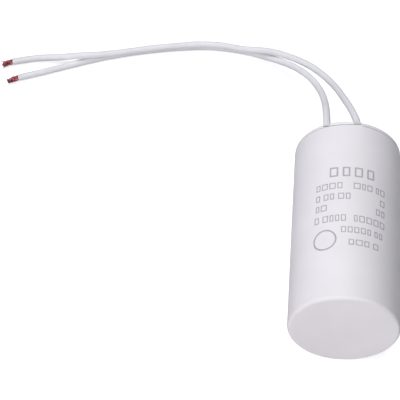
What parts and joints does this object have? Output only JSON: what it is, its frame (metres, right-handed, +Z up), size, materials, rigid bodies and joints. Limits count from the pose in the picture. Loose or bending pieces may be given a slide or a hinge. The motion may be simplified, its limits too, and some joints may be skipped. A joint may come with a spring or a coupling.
{
  "type": "motor run capacitor",
  "caption": "White cylindrical plastic-cased motor run capacitor lying on its side, closed flat end forward, with two insulated flying leads from the far end, stripped to bare copper.",
  "frame": {"origin": "on the ground, below the middle of the can, from its closed end to the tips of the resin beads round the leads. The can lies on its side", "axes": "+Y along the can's axis, from the closed end to the leads; +Z up; +X to the right as seen from the closed end"},
  "size_m": [0.1418, 0.1307, 0.035],
  "materials": {
    "case_plastic": "smooth moulded plastic with a soft shine and grey printed marks",
    "cover_plastic": "moulded plastic, satin",
    "resin": "cured potting resin",
    "film": "wound metallised film",
    "core_plastic": "extruded plastic tube",
    "sprayed_zinc": "rough sprayed metal",
    "solder": "smooth solder",
    "insulation": "white soft extruded insulation, satin",
    "copper": "twisted fine copper strands, reddened"
  },
  "bodies": {
    "root": {"case": "case_plastic", "end_cover": "cover_plastic", "potting_resin": "resin", "film_winding": "film", "winding_core": "core_plastic", "closed_end_spray": "sprayed_zinc", "open_end_spray": "sprayed_zinc", "lead_a_solder": "solder", "lead_b_solder": "solder", "lead_a_insulation": "insulation", "lead_a_conductor": "copper", "lead_b_insulation": "insulation", "lead_b_conductor": "copper"}
  },
  "joints": []
}
